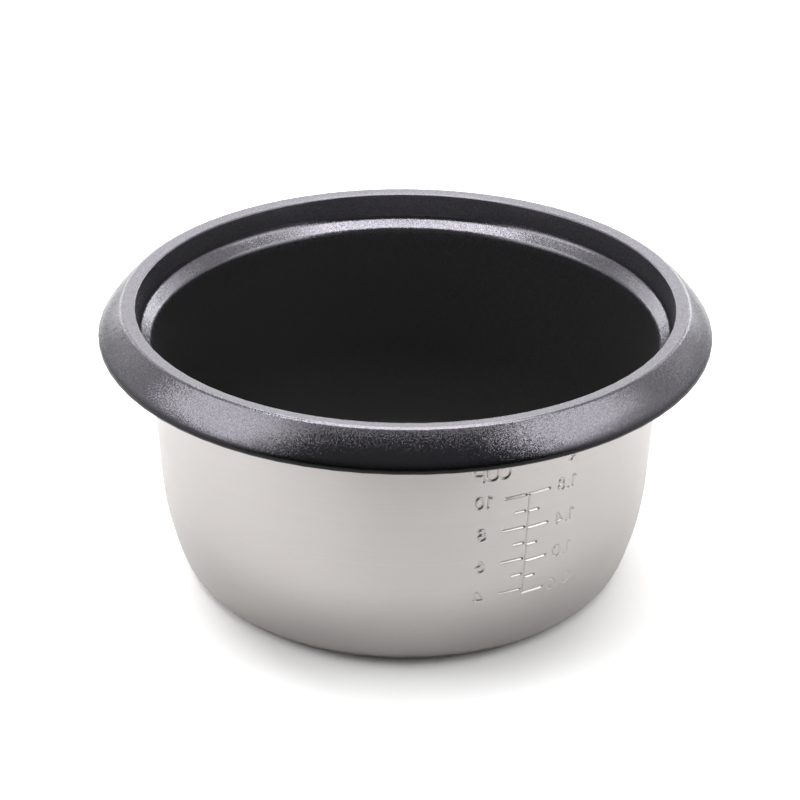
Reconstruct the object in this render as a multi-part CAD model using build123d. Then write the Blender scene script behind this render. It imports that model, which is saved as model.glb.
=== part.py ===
from build123d import *
import os
from math import asin, atan2, cos, degrees, hypot, radians, sin, tan

# Removable inner pot of a rice cooker: one deep-drawn aluminium pressing with a bonded non-stick coating.
# The part stands on its base at the origin with +Z up, and -Y is the side that faces the viewer.
# Driving dimensions are in millimetres, or in degrees where the comment says so.

# Sheet and coating
sheet = 1.5                 # wall of the pressing
coating = 0.25              # film on the food side and over the rim

# Bowl, measured on the coated inside
bowl_radius = 113.4         # at the foot of the ledge
wall_draft = 2.22           # degrees, the wall closes towards the base
belly_height = 46.4         # where the straight wall starts to curve in
belly_radius = 130.8
corner_radius = 10.25       # between the belly and the flat floor

# Ledge and collar under the mouth, measured on the coated inside
mouth_height = 128.1        # mouth edge above the surface that the pot stands on
mouth_radius = 120.0        # inner edge of the rim's land
collar_depth = 11.8
collar_taper = 1.2          # the collar is this much narrower at its foot
ledge_drop = 4.5
mouth_edge_round = 1.0
collar_foot_round = 3.65
ledge_foot_round = 3.6

# Rim: a land, a crowned sloping skirt and a curled hem, measured on the coated outside
land_width = 6.05
land_rise = 1.1             # the land climbs outwards, so that drops run back into the bowl
land_edge_round = 2.7
skirt_crown = 0.55          # how far the skirt stands out from a straight slope where it bends
skirt_bend_share = 0.6      # share of the slope above the bend
skirt_round = 36.0          # of the bend
rim_radius = 136.9          # outermost point of the hem
rim_depth = 15.05           # from the mouth edge down to the lowest point of the hem
hem_radius = 3.0            # outside of the curl
hem_end = 78.0              # degrees, how far below the horizontal the curl goes on
least_bend = 0.4            # smallest radius on the inside of a bend

# Level scale, coined into the wall from outside
scale_azimuth = 26.6        # degrees from -Y towards +X
marks_per_side = 7
litre_top = 85.5            # height of the highest mark on the litre side
litre_pitch = 8.3
cup_top = 85.6              # height of the highest mark on the cup side
cup_pitch = 7.9
long_mark = 10.2
short_mark = 5.1
mark_width = 0.9
mark_gap = 0.75             # bare wall between the upright and the cup marks
mark_depth = 0.4            # groove outside
mark_height = 0.3           # ridge inside

wall = coating + sheet
draft = radians(wall_draft)


def point(radius, height):
    """Place a profile point in the XZ plane."""
    return Vector(radius, 0, height)


def mitred(points, distance):
    """Shift an open run of straight lines to its right-hand side, keeping each line parallel."""
    lines = []
    for start, end in zip(points, points[1:]):
        length = hypot(end[0] - start[0], end[1] - start[1])
        along = ((end[0] - start[0]) / length, (end[1] - start[1]) / length)
        right = (along[1], -along[0])
        lines.append((along, right))
    shifted = [(points[0][0] + distance * lines[0][1][0], points[0][1] + distance * lines[0][1][1])]
    for (along, right), (along_next, right_next), corner in zip(lines, lines[1:], points[1:]):
        half_turn = distance / (1 + right[0] * right_next[0] + right[1] * right_next[1])
        shifted.append((
            corner[0] + half_turn * (right[0] + right_next[0]),
            corner[1] + half_turn * (right[1] + right_next[1]),
        ))
    end_right = lines[-1][1]
    shifted.append((points[-1][0] + distance * end_right[0], points[-1][1] + distance * end_right[1]))
    return shifted


def arc_points(centre, radius, first, last):
    """Start, middle and end of an arc in the profile, with angles in radians from the outward direction."""
    angles = (first, (first + last) / 2, last)
    return [point(centre[0] + radius * cos(angle), centre[1] + radius * sin(angle)) for angle in angles]


def run_to_hem(start, hem_centre):
    """Slope and length of the straight line from a point that runs tangent into the hem."""
    to_hem = (hem_centre[0] - start[0], hem_centre[1] - start[1])
    distance = hypot(*to_hem)
    turn = asin(hem_radius / distance)
    return atan2(to_hem[1], to_hem[0]) + turn, distance * cos(turn)


def profile(depth):
    """Edges of the pot's profile from the axis to the hem, at a depth below the coated face."""
    # Floor corner and belly: two arcs that are tangent to the floor, to each other and to the wall
    belly_end = asin(
        (belly_height - wall + belly_radius * sin(draft) - corner_radius) / (belly_radius - corner_radius)
    )
    ledge_foot = (bowl_radius, mouth_height - collar_depth - ledge_drop)
    wall_foot = (bowl_radius - (ledge_foot[1] - belly_height) * tan(draft), belly_height)
    belly_centre = (wall_foot[0] - belly_radius * cos(draft), wall_foot[1] + belly_radius * sin(draft))
    corner_reach = belly_radius - corner_radius
    corner_centre = (
        belly_centre[0] + corner_reach * cos(belly_end),
        belly_centre[1] - corner_reach * sin(belly_end),
    )
    corner = arc_points(corner_centre, corner_radius + depth, radians(-90), -belly_end)
    belly = arc_points(belly_centre, belly_radius + depth, -belly_end, -draft)

    # Collar, land and crowned skirt: straight lines with rounded corners, the last one tangent to the hem
    collar_foot = (mouth_radius - collar_taper, mouth_height - collar_depth)
    mouth_edge = (mouth_radius, mouth_height)
    land_edge = (mouth_radius + land_width, mouth_height + land_rise)
    hem_centre = (rim_radius - hem_radius, mouth_height - rim_depth + hem_radius)
    slope, length = run_to_hem(land_edge, hem_centre)
    skirt_bend = (
        land_edge[0] + skirt_bend_share * length * cos(slope) - skirt_crown * sin(slope),
        land_edge[1] + skirt_bend_share * length * sin(slope) + skirt_crown * cos(slope),
    )
    hem_start = run_to_hem(skirt_bend, hem_centre)[0] + radians(90)
    skirt_foot = (
        hem_centre[0] + hem_radius * cos(hem_start),
        hem_centre[1] + hem_radius * sin(hem_start),
    )
    corners = [wall_foot, ledge_foot, collar_foot, mouth_edge, land_edge, skirt_bend, skirt_foot]
    corners = mitred(corners, depth)
    rounds = [
        ledge_foot_round - depth,
        collar_foot_round + depth,
        max(mouth_edge_round - depth, least_bend),
        max(land_edge_round - depth, least_bend),
        skirt_round - depth,
    ]
    hem = arc_points(hem_centre, hem_radius - depth, hem_start, -radians(hem_end))
    upper = FilletPolyline(*[point(*corner_point) for corner_point in corners], radius=rounds)
    floor = Line(point(0, corner[0].Z), corner[0])
    return [floor, ThreePointArc(*corner), ThreePointArc(*belly), *upper.edges(), ThreePointArc(*hem)]


def layer(upper_depth, lower_depth):
    """Turn the space between two depths of the profile into a solid of revolution."""
    upper = Wire(profile(upper_depth))
    lower = Wire(profile(lower_depth))
    at_axis = Line(upper @ 0, lower @ 0)
    at_hem = Line(upper @ 1, lower @ 1)
    section = make_face([*upper.edges(), *lower.edges(), at_axis, at_hem])
    return revolve(section, axis=Axis.Z)


def scale_bars():
    """Upright and marks of the level scale as bars that pass right through the wall."""
    upright_foot = litre_top - (marks_per_side - 1) * litre_pitch
    bars = [(0, (litre_top + upright_foot) / 2, mark_width, litre_top - upright_foot + mark_width)]
    for index in range(marks_per_side):
        length = short_mark if index % 2 else long_mark
        bars.append((length / 2, litre_top - index * litre_pitch, length, mark_width))
        cup_middle = -mark_width / 2 - mark_gap - length / 2
        bars.append((cup_middle, cup_top - index * cup_pitch, length, mark_width))
    through = 2 * (long_mark + wall)
    middle = (litre_top + upright_foot) / 2
    reach = bowl_radius - (mouth_height - collar_depth - ledge_drop - middle) * tan(draft)
    turned = Rot(0, 0, scale_azimuth)
    solids = [
        turned * Pos(across, -reach, height) * Box(length, through, width)
        for across, height, length, width in bars
    ]
    return solids[0].fuse(*solids[1:])


def scale_marks(upper_depth, lower_depth):
    """Pieces of a layer that lie under the bars of the level scale."""
    return layer(upper_depth, lower_depth) & scale_bars()


shell = layer(coating, wall) - scale_marks(wall - mark_depth, wall + mark_depth)
lining = layer(0, coating) + scale_marks(-mark_height, 0)

os.makedirs("parts", exist_ok=True)
for name, solid in {"pot_shell": shell, "nonstick_lining": lining}.items():
    export_step(solid, f"parts/{name}.step")
    box = solid.bounding_box()
    print(name, len(solid.solids()), "solid,", round(solid.volume / 1000, 2), "cm3,", box.size)
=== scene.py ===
import math

import bpy
import numpy as np
from mathutils import Matrix, Vector


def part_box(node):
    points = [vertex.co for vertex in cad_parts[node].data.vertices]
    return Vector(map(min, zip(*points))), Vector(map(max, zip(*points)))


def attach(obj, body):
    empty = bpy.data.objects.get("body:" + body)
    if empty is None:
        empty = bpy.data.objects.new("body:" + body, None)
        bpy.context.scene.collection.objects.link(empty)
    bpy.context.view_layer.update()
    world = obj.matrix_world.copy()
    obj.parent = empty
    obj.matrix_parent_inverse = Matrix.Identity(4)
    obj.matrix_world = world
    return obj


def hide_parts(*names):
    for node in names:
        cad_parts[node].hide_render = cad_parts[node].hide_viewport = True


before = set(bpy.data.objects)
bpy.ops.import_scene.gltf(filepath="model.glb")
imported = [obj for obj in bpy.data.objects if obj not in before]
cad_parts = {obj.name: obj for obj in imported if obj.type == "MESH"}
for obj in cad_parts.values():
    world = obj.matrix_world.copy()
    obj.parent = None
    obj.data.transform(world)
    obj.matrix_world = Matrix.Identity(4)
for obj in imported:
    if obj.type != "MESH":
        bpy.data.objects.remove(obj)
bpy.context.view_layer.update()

# Removable inner pot of a rice cooker: a deep-drawn aluminium shell, and the dark sparkle non-stick
# coat that lines the bowl and runs over the rim. Lengths are in metres. The pot stands on its base at
# the origin, +Z is up, and azimuths are counted from -Y, the side that faces the camera, towards +X.
MM = 0.001

# Sheet and coating
SHEET = 1.5 * MM
COATING = 0.25 * MM
WALL = SHEET + COATING

# Bowl, measured on the coated inside
BOWL_RADIUS = 113.4 * MM         # at the foot of the ledge
DRAFT = math.radians(2.22)       # the wall closes towards the base
BELLY_HEIGHT = 46.4 * MM         # where the straight wall starts to curve in
BELLY_RADIUS = 130.8 * MM
CORNER_RADIUS = 10.25 * MM

# Ledge and collar under the mouth
MOUTH_HEIGHT = 128.1 * MM
MOUTH_RADIUS = 120.0 * MM
COLLAR_DEPTH = 11.8 * MM
COLLAR_TAPER = 1.2 * MM
LEDGE_DROP = 4.5 * MM
MOUTH_EDGE_ROUND = 1.0 * MM
COLLAR_FOOT_ROUND = 3.65 * MM
LEDGE_FOOT_ROUND = 3.6 * MM

# Rim: the land, the crowned skirt and the curled hem, whose outermost point is the frame's own reach
LAND_WIDTH = 6.05 * MM
LAND_RISE = 1.1 * MM
LAND_EDGE_ROUND = 2.7 * MM
SKIRT_CROWN = 0.55 * MM          # how far it stands out from a straight slope where it bends
SKIRT_BEND = 0.6                 # share of the slope above the bend
SKIRT_ROUND = 36.0 * MM          # of the bend
RIM_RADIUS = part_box("nonstick_lining")[1].x
RIM_DEPTH = 15.05 * MM
HEM_RADIUS = 3.0 * MM
HEM_END = math.radians(78)
LEAST_BEND = 0.4 * MM

# Level scale, coined into the wall from outside: an upright with marks for litres and for cups
SCALE_AZIMUTH = math.radians(26.6)
MARKS_PER_SIDE = 7
LITRE_TOP = 85.5 * MM
LITRE_PITCH = 8.3 * MM
CUP_TOP = 85.6 * MM
CUP_PITCH = 7.9 * MM
LONG_MARK = 10.2 * MM
SHORT_MARK = 5.1 * MM
CUP_MARKS_START = -1.2 * MM      # bare wall is left between the upright and the cup marks
FIRST_LITRES = 1.8
LITRES_PER_MARK = 0.2
FIRST_CUPS = 10
LABEL_EVERY = 2                  # every long mark has a number
LITRE_LABEL_ACROSS = 18.7 * MM   # middle of the numbers, from the upright
CUP_LABEL_ACROSS = -20.7 * MM
LITRE_CAP = 5.4 * MM             # height of the figures
CUP_CAP = 5.3 * MM
UNIT_FOOT = 95.8 * MM            # foot of the unit signs over the two columns of numbers
UNIT_CAP = 6.5 * MM
CUP_SIGN_ACROSS = -17.4 * MM
LITRE_SIGN_ACROSS = 20.4 * MM
NUMBER_GAP = 0.42                # between the signs of a number, as a share of the cap height
WORD_GAP = 0.24
MARK_WIDTH = 1.6 * MM            # a coined line from wall to wall
MARK_END = 0.4 * MM              # a mark's middle line stops this far from its end, which is round
UPRIGHT_WIDTH = 1.0 * MM
UPRIGHT_SHARE = 0.75             # share of the marks' depth
FIGURE_WIDTH = 1.15 * MM
FIGURE_SHARE = 0.75
GROOVE_DEPTH = 0.7 * MM
RIDGE_HEIGHT = 0.3 * MM          # the same lines on the inside, where the sheet softens them
RIDGE_SPREAD = 1.3
PRESS_FULL = 62.0 * MM           # above this height the figures are coined at full depth
PRESS_LEAST = 0.68               # share of the depth that is left at the lowest figures
PRESS_FOOT = 34.0 * MM

# Mesh spacing
GROOVE_ROW = 0.22 * MM           # where a line or a figure of the scale crosses the rows
RIDGE_ROW = 0.4 * MM
FINE_COLUMN = 0.35 * MM
COARSE_ROW = 9.0 * MM
COARSE_COLUMN = math.radians(5)
TURN_PER_ROW = math.radians(9)
WINDOW_LOW = 31.0 * MM
WINDOW_HIGH = 103.5 * MM
WINDOW_LEFT = math.radians(13.2)
WINDOW_RIGHT = math.radians(39.4)
STRETCH_POINTS = 240             # along each line or arc of the profile
BOW_STEP = 10                    # every tenth of them is enough for a figure's round stroke
SAME_POINT = 1e-9                # points closer than this are one
SHARP_ANGLE = math.radians(75)

# Finishes: colours are linear
ALUMINIUM_DARK = (0.475, 0.452, 0.441, 1)
ALUMINIUM_LIGHT = (0.504, 0.479, 0.468, 1)
FLAKE_DARK = (0.08, 0.0772, 0.084, 1)
FLAKE_LIGHT = (0.168, 0.161, 0.184, 1)
FLAKE_SCALE = 3600.0             # cells of mica to the metre
FLAKE_TILTS = (0.12, 0.2)        # least and most
# painted shade: near-black tone given to the underside of the hem
HEM_PAINTED_SHADE = (0.014, 0.014, 0.015, 1)
BOWL_FILM_DARK = (0.052, 0.052, 0.052, 1)
BOWL_FILM_LIGHT = (0.068, 0.068, 0.068, 1)
BOWL_METAL, COLLAR_METAL, RIM_METAL = 0.55, 0.6, 0.88
BOWL_ROUGHNESS, RIM_ROUGHNESS = 0.36, 0.17
FILM_SHEEN = (0.75, 0.75, 0.75, 1)
GROUND_WHITE = (0.8, 0.8, 0.8, 1)
CARD_BLACK = (0.02, 0.02, 0.02, 1)
PLAIN_WHITE = (1, 1, 1, 1)

# Camera
AIM = Vector((-2.16 * MM, 0, 74.42 * MM))
CAMERA_DISTANCE = 0.8496
CAMERA_ELEVATION = math.radians(27.94)
CAMERA_ROLL = math.radians(0.369)
LENS = 82.99                     # millimetres on a 36 mm square


def line(start, end):
    """Points along a straight line: start times (1 - t) plus end times t, for t from 0 to 1."""
    share = np.linspace(0, 1, STRETCH_POINTS)[:, None]
    return np.asarray(start) * (1 - share) + np.asarray(end) * share


def arc(centre, radius, first, last):
    """Points along an arc: the centre plus the radius times the cosine and sine of even angles."""
    angles = np.linspace(first, last, STRETCH_POINTS)
    unit = np.stack([np.cos(angles), np.sin(angles)], axis=1)
    return np.asarray(centre) + np.asarray(radius) * unit


def rounded(before, corner, after, radius):
    """Arc that rounds a corner: its centre is on the bisector, where a circle of that radius touches
    both lines."""
    back = (before - corner) / np.linalg.norm(before - corner)
    ahead = (after - corner) / np.linalg.norm(after - corner)
    half = math.acos(back @ ahead) / 2
    bisector = (back + ahead) / np.linalg.norm(back + ahead)
    centre = corner + bisector * radius / math.sin(half)
    start = corner + back * radius / math.tan(half) - centre
    end = corner + ahead * radius / math.tan(half) - centre
    first = math.atan2(start[1], start[0])
    turn = math.remainder(math.atan2(end[1], end[0]) - first, math.tau)
    return arc(centre, radius, first, first + turn)


def shifted(corners, distance):
    """A run of straight lines moved to its right-hand side: each corner goes out along its mitre."""
    along = np.diff(corners, axis=0)
    along = along / np.linalg.norm(along, axis=1)[:, None]
    right = np.stack([along[:, 1], -along[:, 0]], axis=1)
    mitre = (right[1:] + right[:-1]) / (1 + np.sum(right[1:] * right[:-1], axis=1))[:, None]
    return corners + distance * np.vstack([right[:1], mitre, right[-1:]])


def run_to_hem(start, hem_centre):
    """Direction and length of the line from a point that runs tangent into the hem: the direction to
    the hem's centre, turned by the angle whose sine is the hem's radius over the distance."""
    to_hem = hem_centre - start
    distance = np.linalg.norm(to_hem)
    turn = math.asin(HEM_RADIUS / distance)
    slope = math.atan2(to_hem[1], to_hem[0]) + turn
    return np.array([math.cos(slope), math.sin(slope)]), distance * math.cos(turn)


def profile(depth):
    """Radius and height along the pot's profile, from the axis to the end of the hem, at a depth below
    the coated face. Floor, corner arc, belly arc, drafted wall, ledge, collar, land, skirt and hem
    follow each other tangent or through a rounded corner, and the depth is added to or taken from
    each radius."""
    corner_reach = BELLY_RADIUS - CORNER_RADIUS
    belly_end = math.asin(
        (BELLY_HEIGHT - WALL + BELLY_RADIUS * math.sin(DRAFT) - CORNER_RADIUS) / corner_reach
    )
    ledge_foot = np.array([BOWL_RADIUS, MOUTH_HEIGHT - COLLAR_DEPTH - LEDGE_DROP])
    wall_rise = ledge_foot[1] - BELLY_HEIGHT
    wall_foot = np.array([BOWL_RADIUS - wall_rise * math.tan(DRAFT), BELLY_HEIGHT])
    belly_centre = wall_foot + BELLY_RADIUS * np.array([-math.cos(DRAFT), math.sin(DRAFT)])
    to_corner = np.array([math.cos(belly_end), -math.sin(belly_end)])
    corner_centre = belly_centre + corner_reach * to_corner
    corner = arc(corner_centre, CORNER_RADIUS + depth, -math.pi / 2, -belly_end)
    belly = arc(belly_centre, BELLY_RADIUS + depth, -belly_end, -DRAFT)

    collar_foot = np.array([MOUTH_RADIUS - COLLAR_TAPER, MOUTH_HEIGHT - COLLAR_DEPTH])
    mouth_edge = np.array([MOUTH_RADIUS, MOUTH_HEIGHT])
    land_edge = mouth_edge + np.array([LAND_WIDTH, LAND_RISE])
    hem_centre = np.array([RIM_RADIUS - HEM_RADIUS, MOUTH_HEIGHT - RIM_DEPTH + HEM_RADIUS])
    along, length = run_to_hem(land_edge, hem_centre)
    outward = np.array([-along[1], along[0]])
    skirt_bend = land_edge + SKIRT_BEND * length * along + SKIRT_CROWN * outward
    along = run_to_hem(skirt_bend, hem_centre)[0]
    hem_start = math.atan2(along[0], -along[1])
    skirt_foot = hem_centre + HEM_RADIUS * np.array([-along[1], along[0]])
    corners = [wall_foot, ledge_foot, collar_foot, mouth_edge, land_edge, skirt_bend, skirt_foot]
    corners = shifted(np.array(corners), depth)
    rounds = [
        LEDGE_FOOT_ROUND - depth,
        COLLAR_FOOT_ROUND + depth,
        max(MOUTH_EDGE_ROUND - depth, LEAST_BEND),
        max(LAND_EDGE_ROUND - depth, LEAST_BEND),
        SKIRT_ROUND - depth,
    ]
    stretches = [line([0, corner[0, 1]], corner[0]), corner, belly]
    for index, radius in enumerate(rounds):
        bend = rounded(corners[index], corners[index + 1], corners[index + 2], radius)
        stretches += [line(stretches[-1][-1], bend[0]), bend]
    hem = arc(hem_centre, HEM_RADIUS - depth, hem_start, -HEM_END)
    stretches += [line(stretches[-1][-1], hem[0]), hem]
    path = np.vstack([stretches[0], *[stretch[1:] for stretch in stretches[1:]]])
    apart = np.r_[True, np.linalg.norm(np.diff(path, axis=0), axis=1) > SAME_POINT]
    return path[apart]


def section_rows(path, fine):
    """Rows of a face: places along the profile, spread so that each row spans an equal sum of length
    over the coarse spacing, turn over the turn for each row and, where lines of the scale cross the
    rows, length over the fine spacing. Gives radius, height, and the direction that points out of the
    right-hand side of the profile."""
    steps = np.diff(path, axis=0)
    lengths = np.linalg.norm(steps, axis=1)
    headings = np.unwrap(np.arctan2(steps[:, 1], steps[:, 0]))
    turns = np.abs(np.gradient(headings))
    middles = (path[1:, 1] + path[:-1, 1]) / 2
    cost = lengths / COARSE_ROW + turns / TURN_PER_ROW
    if fine:
        crossing = [stroke[:, 1] for strokes in scale_strokes() for stroke in strokes]
        lows = np.array([heights.min() for heights in crossing]) - MARK_WIDTH
        highs = np.array([heights.max() for heights in crossing]) + MARK_WIDTH
        crossed = ((middles[:, None] > lows) & (middles[:, None] < highs)).any(axis=1)
        cost = cost + crossed * lengths / fine
    reach = np.r_[0, np.cumsum(lengths)]
    spent = np.r_[0, np.cumsum(cost)]
    places = np.interp(np.linspace(0, spent[-1], math.ceil(spent[-1]) + 1), spent, reach)
    radius = np.interp(places, reach, path[:, 0])
    height = np.interp(places, reach, path[:, 1])
    heading = np.interp(places, (reach[1:] + reach[:-1]) / 2, headings)
    return radius, height, np.sin(heading), -np.cos(heading)


def columns():
    """Azimuths round the pot: a fine run over the scale's window, and a coarse run over the rest of the
    circle."""
    fine_count = math.ceil((WINDOW_RIGHT - WINDOW_LEFT) * BOWL_RADIUS / FINE_COLUMN)
    coarse_count = math.ceil((math.tau - WINDOW_RIGHT + WINDOW_LEFT) / COARSE_COLUMN)
    window = np.linspace(WINDOW_LEFT, WINDOW_RIGHT, fine_count, endpoint=False)
    rest = np.linspace(WINDOW_RIGHT, WINDOW_LEFT + math.tau, coarse_count, endpoint=False)
    return np.r_[window, rest]


def bow(centre, radii, first, last):
    """Points along part of an ellipse, with angles in degrees, for the round strokes of a figure."""
    return arc(centre, radii, math.radians(first), math.radians(last))[::BOW_STEP]


def figure(sign):
    """Strokes and width of one sign of the scale, as runs of points in a box one cap height tall. Round
    strokes are parts of ellipses, and straight ones are given by their ends."""
    strokes = {
        "0": [bow((0.31, 0.5), (0.31, 0.5), 0, 360)],
        "1": [np.array([(0.0, 0.84), (0.24, 1.0), (0.24, 0.0)])],
        "4": [np.array([(0.66, 0.26), (0.0, 0.26), (0.48, 1.0), (0.48, 0.0)])],
        "6": [bow((0.31, 0.31), (0.31, 0.31), 0, 360), bow((0.56, 0.31), (0.56, 0.69), 180, 97)],
        "8": [bow((0.31, 0.75), (0.25, 0.25), 0, 360), bow((0.31, 0.26), (0.31, 0.26), 0, 360)],
        ".": [np.array([(0.0, 0.02), (0.02, 0.0)])],
        "C": [bow((0.36, 0.5), (0.36, 0.5), 48, 312)],
        "U": [np.vstack([[(0.0, 1.0)], bow((0.33, 0.33), (0.33, 0.33), 180, 360), [(0.66, 1.0)]])],
        "P": [np.vstack([
            [(0.0, 0.0), (0.0, 1.0)], bow((0.36, 0.73), (0.27, 0.27), 90, -90), [(0.0, 0.46)],
        ])],
        "l": [np.vstack([
            [(0.0, 0.22)],
            bow((0.33, 0.78), (0.15, 0.22), -40, 180),
            bow((0.34, 0.18), (0.16, 0.18), 180, 320),
        ])],
    }[sign]
    return strokes, max(stroke[:, 0].max() for stroke in strokes)


def label(text, across, foot, cap, gap):
    """Strokes of a word, centred across and standing on its foot. It reads right from inside the bowl,
    so here, on the outside, it runs from right to left."""
    found, cursor = [], 0.0
    for sign in text:
        strokes, width = figure(sign)
        found += [stroke + (cursor, 0) for stroke in strokes]
        cursor += width + gap
    middle = (cursor - gap) / 2
    return [
        np.stack([across - (stroke[:, 0] - middle) * cap, foot + stroke[:, 1] * cap], axis=1)
        for stroke in found
    ]


def scale_strokes():
    """Lines of the level scale on the unrolled wall, as distance across from the upright, and height:
    first the marks, then the figures."""
    marks = []
    figures = label("CUP", CUP_SIGN_ACROSS, UNIT_FOOT, UNIT_CAP, WORD_GAP)
    figures += label("l", LITRE_SIGN_ACROSS, UNIT_FOOT, UNIT_CAP, WORD_GAP)
    for index in range(MARKS_PER_SIDE):
        litre_height = LITRE_TOP - index * LITRE_PITCH
        cup_height = CUP_TOP - index * CUP_PITCH
        labelled = index % LABEL_EVERY == 0
        length = LONG_MARK if labelled else SHORT_MARK
        cup_start = CUP_MARKS_START - MARK_END
        cup_end = CUP_MARKS_START - length + MARK_END
        marks.append(np.array([(0, litre_height), (length - MARK_END, litre_height)]))
        marks.append(np.array([(cup_start, cup_height), (cup_end, cup_height)]))
        if labelled:
            litres = f"{FIRST_LITRES - index * LITRES_PER_MARK:.1f}"
            cups = str(FIRST_CUPS - index)
            litre_foot = litre_height - LITRE_CAP / 2
            cup_foot = cup_height - CUP_CAP / 2
            figures += label(litres, LITRE_LABEL_ACROSS, litre_foot, LITRE_CAP, NUMBER_GAP)
            figures += label(cups, CUP_LABEL_ACROSS, cup_foot, CUP_CAP, NUMBER_GAP)
    return marks, figures


def stamped(across, height, spread):
    """How deep the scale is coined at each point, from 0 to 1. Across a line the depth is the squared
    cosine of the distance to it, and the figures get shallower towards the belly, where the die
    presses less."""
    marks, figures = scale_strokes()
    upright = np.array([(0, LITRE_TOP - (MARKS_PER_SIDE - 1) * LITRE_PITCH), (0, LITRE_TOP)])
    pressed = np.clip((height - PRESS_FOOT) / (PRESS_FULL - PRESS_FOOT), 0, 1)
    press = pressed * (1 - PRESS_LEAST) + PRESS_LEAST
    lines = [(upright, UPRIGHT_SHARE, UPRIGHT_WIDTH)]
    lines += [(mark, 1.0, MARK_WIDTH) for mark in marks]
    lines += [(stroke, FIGURE_SHARE * press, FIGURE_WIDTH) for stroke in figures]
    depth = np.zeros_like(across)
    for stroke, share, width in lines:
        for start, end in zip(stroke[:-1], stroke[1:]):
            run = end - start
            from_start = across - start[0], height - start[1]
            length_squared = max(run @ run, SAME_POINT ** 2)
            along = np.clip((from_start[0] * run[0] + from_start[1] * run[1]) / length_squared, 0, 1)
            apart = np.hypot(from_start[0] - along * run[0], from_start[1] - along * run[1])
            near = np.clip(apart / (spread * width / 2), 0, 1)
            depth = np.maximum(depth, share * np.cos(near * math.pi / 2) ** 2)
    return depth


def turned_face(path, fine=None, relief=0, spread=1):
    """One face of a layer as a grid: the profile's rows turned through the columns' azimuths. Where the
    relief isn't zero, points move by it times the coining's depth along the profile's own normal."""
    radius, height, out_radius, out_height = section_rows(path, fine)
    azimuth = columns()
    coined = np.zeros((radius.size, azimuth.size))
    if relief:
        rows = np.flatnonzero((height > WINDOW_LOW) & (height < WINDOW_HIGH))
        inside = np.flatnonzero((azimuth > WINDOW_LEFT) & (azimuth < WINDOW_RIGHT))
        across = radius[rows, None] * (azimuth[None, inside] - SCALE_AZIMUTH)
        heights = np.broadcast_to(height[rows, None], across.shape)
        coined[np.ix_(rows, inside)] = stamped(across, heights, spread)
    moved_radius = radius[:, None] + relief * coined * out_radius[:, None]
    moved_height = height[:, None] + relief * coined * out_height[:, None]
    across, back = moved_radius * np.sin(azimuth), -moved_radius * np.cos(azimuth)
    return np.stack([across, back, moved_height], axis=2)


def turned_layer(name, upper, lower):
    """Closed layer of the pot: the upper face's rows run out to the hem and the lower face's rows run
    back, each row is joined to the next all the way round, and the two rows on the axis shrink to one
    point each."""
    grid = np.concatenate([upper[1:], lower[:0:-1]])
    rows, around = grid.shape[:2]
    points = np.vstack([grid.reshape(-1, 3), upper[0, 0], lower[0, 0]])
    index = np.arange(rows * around).reshape(rows, around)
    onward = np.roll(index, -1, axis=1)
    quads = np.stack([index[:-1], index[1:], onward[1:], onward[:-1]], axis=2)
    upper_pole = np.stack([np.full(around, rows * around), index[0], onward[0]], axis=1)
    lower_pole = np.stack([index[-1], np.full(around, rows * around + 1), onward[-1]], axis=1)

    mesh = bpy.data.meshes.new(name)
    faces = quads.reshape(-1, 4).tolist() + upper_pole.tolist() + lower_pole.tolist()
    mesh.from_pydata(points, [], faces)
    mesh.shade_smooth()
    mesh.set_sharp_from_angle(angle=SHARP_ANGLE)
    piece = bpy.data.objects.new(name, mesh)
    bpy.context.scene.collection.objects.link(piece)
    return piece


class Nodes:
    """Short way to write a material's node tree."""

    def __init__(self, tree):
        self.tree = tree
        self.tree.nodes.clear()

    def add(self, kind, inputs=(), **settings):
        """New node with its settings, and values or links for its inputs by name or number."""
        node = self.tree.nodes.new(kind)
        for key, value in settings.items():
            setattr(node, key, value)
        for socket, value in dict(inputs).items():
            if isinstance(value, bpy.types.NodeSocket):
                self.tree.links.new(value, node.inputs[socket])
            else:
                node.inputs[socket].default_value = value
        return node

    def math(self, operation, first, second=0.0):
        """Sum, product or other function of two numbers."""
        return self.add("ShaderNodeMath", {0: first, 1: second}, operation=operation).outputs[0]

    def vector(self, operation, first, second=(0, 0, 0)):
        """Sum, product or other function of two vectors."""
        inputs = {0: first, 1: second}
        return self.add("ShaderNodeVectorMath", inputs, operation=operation).outputs[0]

    def length(self, vector):
        """Length of a vector."""
        return self.add("ShaderNodeVectorMath", {0: vector}, operation="LENGTH").outputs["Value"]

    def noise(self, place, scale, detail):
        """Soft random value at a place."""
        inputs = {"Vector": place, "Scale": scale, "Detail": detail}
        return self.add("ShaderNodeTexNoise", inputs).outputs[0]

    def spread(self, value, low, high, to_low, to_high):
        """Value carried from one range to another."""
        inputs = {0: value, 1: low, 2: high, 3: to_low, 4: to_high}
        return self.add("ShaderNodeMapRange", inputs).outputs[0]

    def blend(self, share, first, second):
        """Mix of two colours."""
        node = self.add("ShaderNodeMix", data_type="RGBA")
        for socket, value in (("Factor_Float", share), ("A_Color", first), ("B_Color", second)):
            target = next(s for s in node.inputs if s.identifier == socket)
            if isinstance(value, bpy.types.NodeSocket):
                self.tree.links.new(value, target)
            else:
                target.default_value = value
        return next(s for s in node.outputs if s.identifier == "Result_Color")

    def seen_directly(self):
        """One for camera, glossy and transmission rays, and zero for the rest."""
        path = self.add("ShaderNodeLightPath")
        seen = self.math("MAXIMUM", path.outputs["Is Camera Ray"], path.outputs["Is Glossy Ray"])
        return self.math("MAXIMUM", seen, path.outputs["Is Transmission Ray"])


def new_material(name):
    """Empty material and its node tree."""
    material = bpy.data.materials.new(name)
    material.use_nodes = True
    return material, Nodes(material.node_tree)


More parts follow.
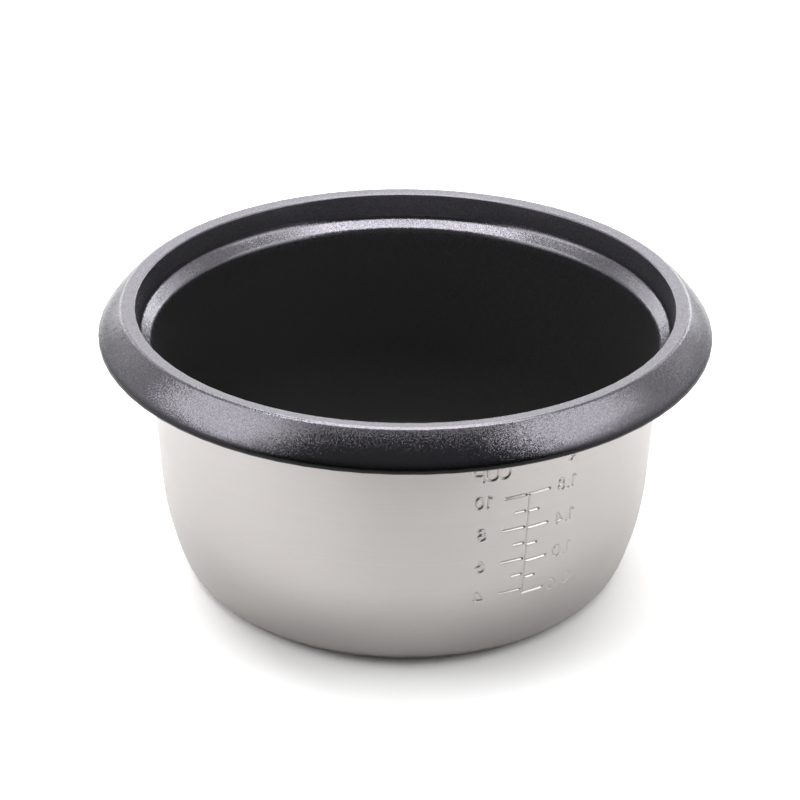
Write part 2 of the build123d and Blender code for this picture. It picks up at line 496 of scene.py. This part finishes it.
def bare_aluminium():
    """Satin pressed aluminium: faint spun lines that run round the pot, and a cloudy roughness."""
    material, nodes = new_material("satin_aluminium")
    place = nodes.add("ShaderNodeTexCoord").outputs["Object"]
    parts = nodes.add("ShaderNodeSeparateXYZ", {0: place}).outputs
    square_x = nodes.math("MULTIPLY", parts["X"], parts["X"])
    square_y = nodes.math("MULTIPLY", parts["Y"], parts["Y"])
    radius = nodes.math("SQRT", nodes.math("ADD", square_x, square_y))
    spun_place = nodes.add("ShaderNodeCombineXYZ", {0: radius, 1: 0.0, 2: parts["Z"]}).outputs[0]
    spun = nodes.noise(spun_place, scale=1500.0, detail=3.0)
    grain = nodes.noise(place, scale=2600.0, detail=2.0)
    cloud = nodes.noise(place, scale=55.0, detail=3.0)
    lines = nodes.math("ADD", nodes.math("MULTIPLY", spun, 0.5), nodes.math("MULTIPLY", grain, 0.5))
    line_share = nodes.spread(lines, 0.35, 0.65, 0.0, 1.0)
    tone = nodes.blend(line_share, ALUMINIUM_DARK, ALUMINIUM_LIGHT)
    roughness = nodes.spread(cloud, 0.3, 0.7, 0.29, 0.33)
    bump = nodes.add("ShaderNodeBump", {"Strength": 0.03, "Distance": 0.05 * MM, "Height": lines})
    surface = nodes.add("ShaderNodeBsdfPrincipled", {
        "Base Color": tone, "Metallic": 1.0, "Roughness": roughness, "Normal": bump.outputs[0],
    })
    nodes.add("ShaderNodeOutputMaterial", {"Surface": surface.outputs[0]})
    return material


def sparkle_coat():
    """Dark non-stick film full of fine mica: every small random cell has its own share of a blue-violet
    grey metal and its own slight tilt, so that highlights break up into fine grains. The film is
    plainer inside the bowl, has less metal on the upright collar, and has painted shade round the
    underside of the hem, where a near-black tone stands in for shade."""
    material, nodes = new_material("sparkle_nonstick")
    place = nodes.add("ShaderNodeTexCoord").outputs["Object"]
    cell = nodes.add("ShaderNodeTexVoronoi", {"Vector": place, "Scale": FLAKE_SCALE}).outputs["Color"]
    chance = nodes.add("ShaderNodeSeparateColor", {0: cell}).outputs
    sparkle = nodes.blend(chance[0], FLAKE_DARK, FLAKE_LIGHT)
    parts = nodes.add("ShaderNodeSeparateXYZ", {0: place}).outputs
    radius = nodes.length(nodes.vector("MULTIPLY", place, (1, 1, 0)))
    land_end, hem_start = MOUTH_RADIUS + LAND_WIDTH, RIM_RADIUS - HEM_RADIUS
    on_skirt = nodes.spread(radius, land_end, hem_start, 0.0, 1.0)
    hem_middle = MOUTH_HEIGHT - RIM_DEPTH + HEM_RADIUS
    # Painted shade: the lower half of the hem, past the skirt, is blended to a near-black tone
    low = nodes.spread(parts["Z"], hem_middle, hem_middle + HEM_RADIUS, 1.0, 0.0)
    tone = nodes.blend(nodes.math("MULTIPLY", on_skirt, low), sparkle, HEM_PAINTED_SHADE)
    above_bowl = nodes.spread(radius, BOWL_RADIUS - MM, BOWL_RADIUS + MM, 0.0, 1.0)
    plain = nodes.blend(chance[0], BOWL_FILM_DARK, BOWL_FILM_LIGHT)
    tone = nodes.blend(above_bowl, plain, tone)
    collar_foot = MOUTH_HEIGHT - COLLAR_DEPTH
    over_ledge = nodes.spread(parts["Z"], collar_foot, collar_foot + COLLAR_FOOT_ROUND, 0.0, 1.0)
    inside_land = nodes.spread(radius, MOUTH_RADIUS, MOUTH_RADIUS + MM, 1.0, 0.0)
    on_collar = nodes.math("MULTIPLY", over_ledge, inside_land)
    metal_above = nodes.spread(on_collar, 0.0, 1.0, RIM_METAL, COLLAR_METAL)
    metal = nodes.spread(above_bowl, 0.0, 1.0, BOWL_METAL, metal_above)
    roughness = nodes.spread(above_bowl, 0.0, 1.0, BOWL_ROUGHNESS, RIM_ROUGHNESS)
    tilt = nodes.vector("SUBTRACT", cell, (0.5, 0.5, 0.5))
    slant = nodes.spread(chance[2], 0.5, 1.0, *FLAKE_TILTS)
    slanted = nodes.add("ShaderNodeVectorMath", {0: tilt, "Scale": slant}, operation="SCALE")
    level = nodes.add("ShaderNodeNewGeometry").outputs["Normal"]
    normal = nodes.vector("NORMALIZE", nodes.vector("ADD", level, slanted.outputs[0]))
    surface = nodes.add("ShaderNodeBsdfPrincipled", {
        "Base Color": tone, "Metallic": metal, "Roughness": roughness, "Normal": normal,
        "Specular Tint": FILM_SHEEN,
    })
    nodes.add("ShaderNodeOutputMaterial", {"Surface": surface.outputs[0]})
    return material


def white_ground():
    """Matt pale ground that keeps the pot's shadow. The camera and reflections see it whiter, and
    further off they see plain white."""
    material, nodes = new_material("white_ground")
    place = nodes.add("ShaderNodeTexCoord").outputs["Object"]
    far_off = nodes.spread(nodes.length(place), 0.5, 1.2, 0.0, 1.0)
    far = nodes.math("MULTIPLY", far_off, nodes.seen_directly())
    path = nodes.add("ShaderNodeLightPath").outputs
    whiter = nodes.math("ADD", nodes.math("MULTIPLY", path["Is Camera Ray"], 0.5),
                        nodes.math("MULTIPLY", path["Is Glossy Ray"], 0.18))
    matt = nodes.add("ShaderNodeBsdfDiffuse", {"Color": GROUND_WHITE})
    lift = nodes.add("ShaderNodeBsdfDiffuse", {"Color": whiter})
    near = nodes.add("ShaderNodeAddShader", {0: matt.outputs[0], 1: lift.outputs[0]})
    white = nodes.add("ShaderNodeEmission", {"Color": PLAIN_WHITE, "Strength": 1.0})
    mixed = nodes.add("ShaderNodeMixShader", {0: far, 1: near.outputs[0], 2: white.outputs[0]})
    nodes.add("ShaderNodeOutputMaterial", {"Surface": mixed.outputs[0]})
    return material


def dark_card():
    """Matt black of the studio's card."""
    material, nodes = new_material("dark_card")
    matt = nodes.add("ShaderNodeBsdfDiffuse", {"Color": CARD_BLACK})
    nodes.add("ShaderNodeOutputMaterial", {"Surface": matt.outputs[0]})
    return material


def stage_sheet(name, corners, material):
    """Flat four-cornered sheet that belongs to the studio."""
    mesh = bpy.data.meshes.new(name)
    mesh.from_pydata(corners, [], [(0, 1, 2, 3)])
    mesh.materials.append(material)
    sheet = bpy.data.objects.new(name, mesh)
    bpy.context.scene.collection.objects.link(sheet)
    return sheet


def aimed(place, target):
    """Matrix of a lamp that stands at a place and shines at a target."""
    turn = (target - place).to_track_quat("-Z", "Y").to_matrix().to_4x4()
    return Matrix.Translation(place) @ turn


def softbox(name, azimuth, elevation, distance, width, height, radiance, mirrored=True, matt=True):
    """Rectangular lamp at an azimuth and elevation, in degrees, round the pot. Its power is four times
    its area times the brightness of its face. Reflections leave out a lamp that isn't mirrored, and
    matt surfaces one that isn't matt."""
    lamp = bpy.data.lights.new(name, "AREA")
    lamp.shape = "RECTANGLE"
    lamp.size = width
    lamp.size_y = height
    lamp.energy = 4 * width * height * radiance
    box = bpy.data.objects.new(name, lamp)
    bpy.context.scene.collection.objects.link(box)
    azimuth = math.radians(azimuth)
    elevation = math.radians(elevation)
    level = distance * math.cos(elevation)
    rise = distance * math.sin(elevation)
    target = Vector((0, 0, MOUTH_HEIGHT))
    place = target + Vector((level * math.sin(azimuth), -level * math.cos(azimuth), rise))
    box.matrix_world = aimed(place, target)
    box.visible_camera = False
    box.visible_glossy = mirrored
    box.visible_diffuse = matt


def studio():
    """White ground, pale surroundings, soft lamps, and a dark card round the camera that only
    reflections see."""
    reach = 14.0
    ground_corners = [(-reach, -reach, 0), (reach, -reach, 0), (reach, reach, 0), (-reach, reach, 0)]
    stage_sheet("ground", ground_corners, white_ground())

    world = bpy.data.worlds.new("surroundings")
    bpy.context.scene.world = world
    world.use_nodes = True
    nodes = Nodes(world.node_tree)
    strength = nodes.spread(nodes.seen_directly(), 0.0, 1.0, 0.06, 1.0)
    pale = nodes.add("ShaderNodeBackground", {"Color": PLAIN_WHITE, "Strength": strength})
    nodes.add("ShaderNodeOutputWorld", {"Surface": pale.outputs[0]})

    # Azimuth, elevation, distance, width, height and radiance
    everywhere = {
        "back_wide": (180, 21, 2.0, 3.7, 1.86, 1.25),
        "back_main": (180, 35, 1.9, 1.0, 0.8, 0.7),
        "left": (-78, 38.3, 1.6, 1.05, 0.93, 2.0),
        "right": (75, 40, 1.6, 1.05, 0.82, 2.0),
    }
    on_matt_surfaces = {
        "overhead": (0, 84, 1.6, 1.85, 0.78, 4.2),
        "back_fill": (180, 26, 2.0, 3.7, 1.5, 0.8),
        "left_fill": (-135, 40, 1.4, 0.6, 0.6, 3.4),
    }
    in_reflections = {
        "overhead_low": (0, 84.3, 0.764, 0.88, 0.235, 4.9),
        "back_top": (180, 64, 1.7, 0.9, 1.1, 4.0),
        "back_left": (-152, 12, 2.0, 1.0, 0.4, 1.7),
        "back_right": (152, 12, 2.0, 1.0, 0.4, 2.5),
        "side_left": (-130, 16, 2.0, 0.9, 0.6, 0.35),
        "side_right": (130, 16, 2.0, 0.9, 0.6, 0.45),
    }
    for name, lamp in everywhere.items():
        softbox(name, *lamp)
    for name, lamp in on_matt_surfaces.items():
        softbox(name, *lamp, mirrored=False)
    for name, lamp in in_reflections.items():
        softbox(name, *lamp, matt=False)

    card = dark_card()
    side, front, top = 1.7, -1.6, 3.3
    near_side, near_edge, low = 0.5, -0.29, 0.003
    for name, corners in {
        "dark_front": [(-side, front, 0), (side, front, 0), (side, front, top), (-side, front, top)],
        "dark_table": [
            (-near_side, near_edge, low), (near_side, near_edge, low),
            (side, front, low), (-side, front, low),
        ],
    }.items():
        sheet = stage_sheet(name, corners, card)
        sheet.visible_camera = False
        sheet.visible_diffuse = False
        sheet.visible_shadow = False
        sheet.visible_transmission = False


def photo_camera():
    """Camera at the photograph's place: it looks at the aim from its elevation, turned by a small
    roll."""
    forward = Vector((0, math.cos(CAMERA_ELEVATION), -math.sin(CAMERA_ELEVATION)))
    level_right = Vector((1, 0, 0))
    level_up = level_right.cross(forward)
    right = math.cos(CAMERA_ROLL) * level_right + math.sin(CAMERA_ROLL) * level_up
    up = math.cos(CAMERA_ROLL) * level_up - math.sin(CAMERA_ROLL) * level_right
    turn = Matrix((right, up, -forward)).transposed().to_4x4()
    data = bpy.data.cameras.new("photo_camera")
    data.lens = LENS
    camera = bpy.data.objects.new("photo_camera", data)
    bpy.context.scene.collection.objects.link(camera)
    camera.matrix_world = Matrix.Translation(AIM - CAMERA_DISTANCE * forward) @ turn
    bpy.context.scene.camera = camera


coated, bonded, bare = profile(0), profile(COATING), profile(WALL)
bonded_face = turned_face(bonded)
outer_face = turned_face(bare, GROOVE_ROW, -GROOVE_DEPTH)
shell = turned_layer("aluminium_pot", bonded_face, outer_face)
shell.data.materials.append(bare_aluminium())
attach(shell, "root")
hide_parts("pot_shell")

food_face = turned_face(coated, RIDGE_ROW, -RIDGE_HEIGHT, RIDGE_SPREAD)
lining = turned_layer("nonstick_coat", food_face, bonded_face)
lining.data.materials.append(sparkle_coat())
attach(lining, "root")
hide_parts("nonstick_lining")

studio()
photo_camera()
bpy.context.scene.view_settings.view_transform = "Standard"
